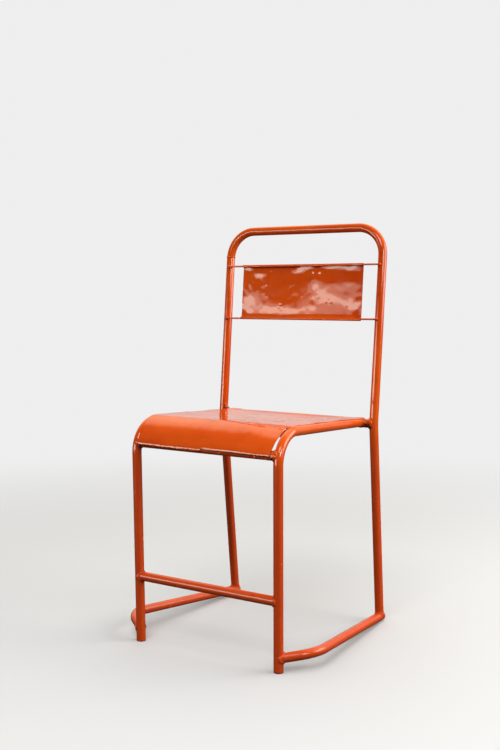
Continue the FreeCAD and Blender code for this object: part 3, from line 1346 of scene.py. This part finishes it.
@dataclass
class Studio:
    """A pale floor, a pale background, soft lamps and the camera.

    The world shines by direction: each field that ends in from says between which heights of
    the direction (for the cloth, how far it points to the rear) that light comes in.
    """

    eye: tuple[float, float, float] = (1.15694, -1.81131, 0.71605)
    turn: float = 0.57626
    dip: float = 0.079423
    lens: float = 49.48
    sensor: float = 36.0
    floor_size: float = 40.0
    pale: float = 0.86
    floor_seen: Colour = (206, 206, 206)
    floor_bounce: Colour = (36, 35, 36)
    fade_start: float = 0.9
    fade_end: float = 2.6
    room: float = 0.03
    sky: float = 1.5
    sky_from: tuple[float, float] = (0.25, 1.0)
    cloth: float = 0.78
    cloth_from: tuple[float, float] = (-0.1, 0.25)
    ceiling: float = 0.95
    ceiling_from: tuple[float, float] = (0.25, 0.75)
    warm_from: tuple[float, float] = (0.2, 0.5)
    cloth_hue: tuple[float, float, float, float] = (1.0, 0.89, 0.83, 1.0)
    ceiling_hue: tuple[float, float, float, float] = (1.0, 0.93, 0.62, 1.0)
    lamps: tuple[Lamp, ...] = (
        Lamp("key", (2.25, 1.1, 1.38), (2.2, 1.45), 58.0, colour=(255, 252, 246)),
        Lamp("window", (-1.75, -2.75, 0.66), (2.4, 0.8), 48.0, BACK_MIDDLE, (255, 250, 232), True),
        Lamp("blind", (-1.75, -2.75, 1.14), (2.4, 0.16), 3.4, BACK_MIDDLE, (255, 250, 232), True),
        Lamp("front", (0.7, -2.3, 2.6), (1.6, 1.0), 36.0, (0.0, 0.0, 0.6)),
        Lamp("side", (2.08, -1.25, 1.42), (0.7, 0.6), 22.0, RIGHT_UPRIGHT, (255, 250, 236), True),
    )

    def empty(self) -> None:
        """Removes what a new file holds."""
        for thing in list(bpy.data.objects):
            bpy.data.objects.remove(thing)

    def set_up(self) -> None:
        """Makes the floor, the light and the camera."""
        self.lay_floor()
        self.light_world()
        for lamp in self.lamps:
            lamp.hang()
        self.place_camera()
        bpy.context.scene.view_settings.view_transform = "Standard"

    def lay_floor(self) -> None:
        """Lays a floor that runs into the background, and throws little light back up."""
        Bench.clear()
        bpy.ops.mesh.primitive_plane_add(size=self.floor_size)
        floor = Bench.adopt("studio_floor")
        recipe = Recipe("studio_floor")
        seen = recipe.node("ShaderNodeLightPath", {}, {}, "Is Camera Ray")
        colour = recipe.mix(seen, tint(self.floor_bounce), tint(self.floor_seen))
        material = recipe.finish(Base_Color=colour, Roughness=0.7)
        near = Signal(recipe, recipe.shader.outputs[0])
        far = recipe.node("ShaderNodeEmission", {}, {"Color": WHITE, "Strength": self.pale})
        blend = recipe.length(recipe.place).between(self.fade_start, self.fade_end) * seen
        mixed = recipe.node("ShaderNodeMixShader", {}, {0: blend, 1: near, 2: far})
        recipe.feed(recipe.tree.nodes["Material Output"].inputs["Surface"], mixed)
        floor.data.materials.append(material)

    def light_world(self) -> None:
        """A dim even world, which a camera or a gloss sees as pale where the backdrop is."""
        world = bpy.data.worlds.new("studio_world")
        bpy.context.scene.world = world
        world.use_nodes = True
        graph = Graph(world.node_tree)
        background = world.node_tree.nodes["Background"]
        camera = graph.node("ShaderNodeLightPath", {}, {}, "Is Camera Ray")
        gloss = graph.node("ShaderNodeLightPath", {}, {}, "Is Glossy Ray")
        clear = graph.node("ShaderNodeLightPath", {}, {}, "Is Transmission Ray")
        way = graph.node("ShaderNodeTexCoord", {}, {}, "Generated")
        behind = graph.axis(way, "Y").between(*self.cloth_from)
        height = graph.axis(way, "Z")
        dim = self.room + self.sky * height.between(*self.sky_from)
        above = self.ceiling * height.between(*self.ceiling_from)
        shine = behind * (self.cloth - self.room + above)
        plain = 1.0 - camera - clear - gloss
        light = dim * plain + (camera + clear) * self.pale + gloss * (self.room + shine)
        shine_hue = graph.mix(height.between(*self.warm_from), self.cloth_hue, self.ceiling_hue)
        graph.feed(background.inputs["Color"], graph.mix(gloss, WHITE, shine_hue))
        graph.feed(background.inputs["Strength"], light)

    def place_camera(self) -> None:
        """Stands the camera where the photograph was taken."""
        camera = bpy.data.cameras.new("camera")
        camera.lens = self.lens
        camera.sensor_width = self.sensor
        stand = bpy.data.objects.new("camera", camera)
        bpy.context.scene.collection.objects.link(stand)
        stand.location = self.eye
        stand.rotation_euler = (math.pi / 2 - self.dip, 0, self.turn)
        bpy.context.scene.camera = stand


# Dark spots in the enamel's colour: dirt in the joints, and painted shade where shadow falls in them.
JOINT_DIRT_AND_SHADE = (
    DarkSpot(183.0, 148.0, 433.0, 13.0, 0.9),
    DarkSpot(176.0, 150.0, 431.0, 8.0, 0.7),
    DarkSpot(-184.0, 150.0, 447.0, 10.0),
    DarkSpot(-159.0, -196.0, 405.0, 8.0),
    DarkSpot(156.0, -197.0, 404.0, 9.0, 0.9),
    DarkSpot(158.5, -190.0, 421.0, 5.0),
    DarkSpot(159.5, -193.0, 421.0, 3.6, 1.0),
    DarkSpot(-158.0, -192.0, 128.0, 6.0, 0.5),
    DarkSpot(158.0, -192.0, 129.0, 6.0, 0.5),
    DarkSpot(-189.0, 168.0, 777.0, 5.0, 0.7),
    DarkSpot(-189.0, 158.0, 657.0, 5.0, 0.9),
    DarkSpot(189.0, 158.0, 660.0, 5.0, 0.7),
    DarkSpot(170.0, -176.0, 20.0, 7.0, 0.6),
    DarkSpot(192.0, 196.0, 4.0, 12.0, 0.6),
    DarkSpot(-192.0, 196.0, 12.0, 12.0, 0.5),
)
# Painted shade: dark spots in the colour along the gap beside the seat's roll and under the lip's right
# end.
SLOT_SHADE = (
    DarkSpot(161.0, -147.5, 456.0, 5.6, 1.0),
    DarkSpot(161.0, -152.0, 454.6, 5.6, 1.0),
    DarkSpot(161.0, -157.0, 452.2, 5.6, 1.0),
    DarkSpot(161.0, -161.5, 449.6, 5.4, 1.0),
    DarkSpot(161.0, -165.5, 446.6, 5.2, 1.0),
    DarkSpot(152.5, -201.0, 412.0, 2.4, 0.9),
)
DROPS = (
    Drops("rear_joint_drops", (
        Drop(174.6, 145.6, 442.4, 3.0),
        Drop(179.2, 145.4, 440.0, 3.4),
        Drop(181.5, 147.0, 445.0, 3.0),
        Drop(176.5, 146.5, 434.0, 2.6),
    )),
    Drops("rear_left_joint_drops", (
        Drop(-181.0, 149.5, 453.0, 4.4),
        Drop(-177.0, 148.5, 451.5, 3.6),
        Drop(-184.0, 150.5, 459.0, 3.4),
    )),
    Drops("upright_drip", (Drop(193.6, 148.2, 487.2, 2.2),), 2.0),
    Drops("front_rail_drops", (
        Drop(137.0, -199.0, 408.5, 1.5),
        Drop(142.7, -197.8, 407.0, 1.9),
        Drop(147.2, -197.2, 405.8, 1.5),
        Drop(149.9, -197.4, 406.6, 1.8),
        Drop(154.4, -198.6, 409.0, 2.0),
        Drop(157.6, -199.0, 411.6, 2.2),
    )),
)


def main() -> None:
    """Dresses the chair and sets up the studio."""
    logging.basicConfig(level=logging.INFO, format="%(message)s")
    studio = Studio()
    studio.empty()
    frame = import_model()
    studio.set_up()

    # The tube, weld and seat enamels paint shade into their colour: low down, in the joints and in the
    # gap beside the seat's roll.
    tube_enamel = Enamel("tube_enamel", chips=0.02, dark_spots=JOINT_DIRT_AND_SHADE + SLOT_SHADE).make()
    sheet_enamel = Enamel("sheet_enamel", gloss=0.03, haze=0.07, peel=0.02, wave=0.05).make()
    weld_enamel = Enamel("weld_enamel", gloss=0.08, chips=0.03, dark_spots=JOINT_DIRT_AND_SHADE).make()
    Frame(frame["nodes"]).paint(tube_enamel, Plastic("foot_plastic").make())
    seat_enamel = Enamel(
        "seat_enamel",
        (226, 87, 22),
        (211, 71, 13),
        gloss=0.03,
        haze=0.07,
        peel=0.02,
        wave=0.05,
        dark_spots=SLOT_SHADE,
    ).make()
    log.info("made %s", SeatSheet().build(seat_enamel).name)
    log.info("made %s", BackSheet().build(sheet_enamel).name)
    for name in sorted(frame["nodes"]):
        if name.startswith("welds_"):
            log.info("made %s", WeldBeads(frame["nodes"][name]).build(weld_enamel).name)
    log.info("made %s", WeldRing().build(weld_enamel).name)
    for drops in DROPS:
        log.info("made %s", drops.build(weld_enamel).name)


if __name__ == "__main__":
    main()
